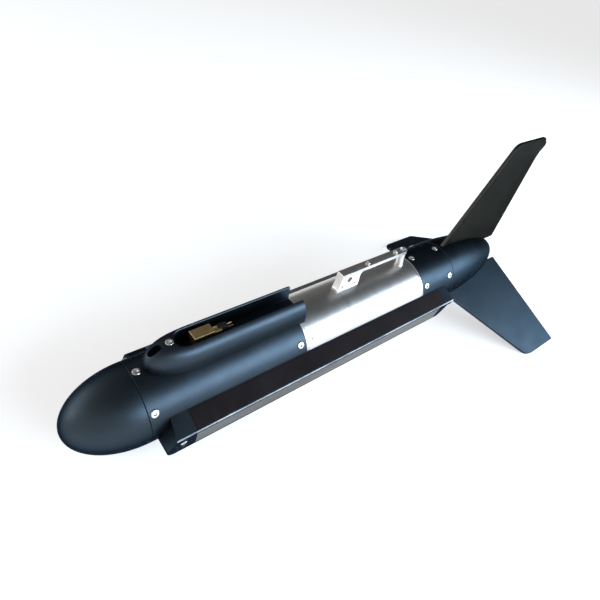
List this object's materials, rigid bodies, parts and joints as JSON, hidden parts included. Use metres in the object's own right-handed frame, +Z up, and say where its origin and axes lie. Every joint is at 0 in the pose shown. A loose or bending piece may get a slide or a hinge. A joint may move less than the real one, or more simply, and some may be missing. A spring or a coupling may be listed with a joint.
{
  "type": "side-scan sonar towfish",
  "caption": "Slim torpedo-shaped sonar towfish with a cable fairing and tow bracket on top, transducer bars on both sides and three tail fins.",
  "frame": {"origin": "on the floor, under the middle of the whole object as it lies on its nose screw and two lower fins", "axes": "+X from the nose to the tail along the floor, +Y to starboard, +Z up; the body's own axis rises about 5 degrees towards the tail"},
  "size_m": [0.8062, 0.3674, 0.3228],
  "materials": {
    "black_anodised": "satin black anodised",
    "turned_silver": "fine turned, bare",
    "bright_steel": "bright stainless",
    "brass": "machined",
    "copper": "bright contact",
    "black_rubber": "moulded",
    "dark_inlay": "matte",
    "grey_window": "cast, satin",
    "ballast": "raw",
    "circuit_board": "solder mask"
  },
  "bodies": {
    "root": {"nose_cone": "black_anodised", "nose_ballast": "ballast", "front_sleeve": "black_anodised", "front_end_cap": "turned_silver", "front_end_cap_o_ring": "black_rubber", "tether_gland": "brass", "array_gland_starboard": "brass", "array_gland_port": "brass", "pressure_housing": "turned_silver", "cap_lock_screw": "turned_silver", "rear_end_cap": "turned_silver", "rear_end_cap_o_ring": "black_rubber", "electronics_tray": "turned_silver", "sonar_board": "circuit_board", "power_board": "circuit_board", "rear_sleeve": "black_anodised", "tail_cone": "black_anodised", "fin_top": "black_anodised", "fin_port": "black_anodised", "fin_starboard": "black_anodised", "cable_fairing": "black_anodised", "fairing_screw": "bright_steel", "fairing_bow_screw": "bright_steel", "connector_block": "brass", "connector_insert": "black_rubber", "connector_pin_port": "copper", "connector_pin_starboard": "copper", "tow_bracket": "turned_silver", "bracket_bar_screw_1": "bright_steel", "bracket_bar_screw_2": "bright_steel", "bracket_post_bolt": "bright_steel", "array_housing_starboard": "black_anodised", "array_inlay_starboard": "dark_inlay", "array_window_starboard": "grey_window", "array_screw_starboard": "bright_steel", "array_housing_port": "black_anodised", "array_inlay_port": "dark_inlay", "array_window_port": "grey_window", "array_screw_port": "bright_steel", "array_bolt_starboard_front": "bright_steel", "array_bolt_port_front": "bright_steel", "array_bolt_starboard_rear": "bright_steel", "array_bolt_port_rear": "bright_steel", "nose_screw_1": "bright_steel", "nose_screw_2": "bright_steel", "nose_screw_3": "bright_steel", "nose_screw_4": "bright_steel", "front_cap_screw_1": "bright_steel", "front_cap_screw_2": "bright_steel", "front_cap_screw_3": "bright_steel", "rear_cap_screw_1": "bright_steel", "rear_cap_screw_2": "bright_steel", "rear_cap_screw_3": "bright_steel", "rear_cap_screw_4": "bright_steel", "tail_screw_1": "bright_steel", "tail_screw_2": "bright_steel", "tail_screw_3": "bright_steel", "tail_screw_4": "bright_steel", "tail_screw_5": "bright_steel", "tail_screw_6": "bright_steel"}
  },
  "joints": []
}
